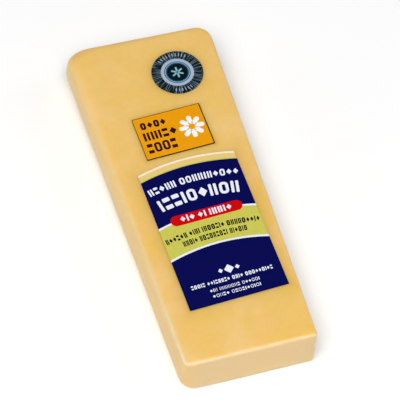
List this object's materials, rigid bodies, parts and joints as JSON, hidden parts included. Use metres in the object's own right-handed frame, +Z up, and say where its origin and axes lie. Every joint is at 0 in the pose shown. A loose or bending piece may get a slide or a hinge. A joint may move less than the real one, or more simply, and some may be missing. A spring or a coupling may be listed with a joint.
{
  "type": "cheddar block",
  "caption": "Long flat block of cheddar cheese in a skin-tight clear wrap, with a front label, a small badge label and a round foil seal on its top face.",
  "frame": {"origin": "middle of the base face's bounding box, on the surface that the block lies on", "axes": "+Z up through the labelled face, +Y along the block towards the end with the seal, +X across it"},
  "size_m": [0.064, 0.1634, 0.0226],
  "materials": {
    "cheese": "satin cheese under a clear skin-tight film",
    "front_print": "printed film, satin",
    "badge_print": "printed film, satin",
    "foil": "patterned foil sticker"
  },
  "bodies": {
    "root": {"cheese_block": "cheese", "front_label": "front_print", "badge_label": "badge_print", "foil_seal": "foil"}
  },
  "joints": []
}
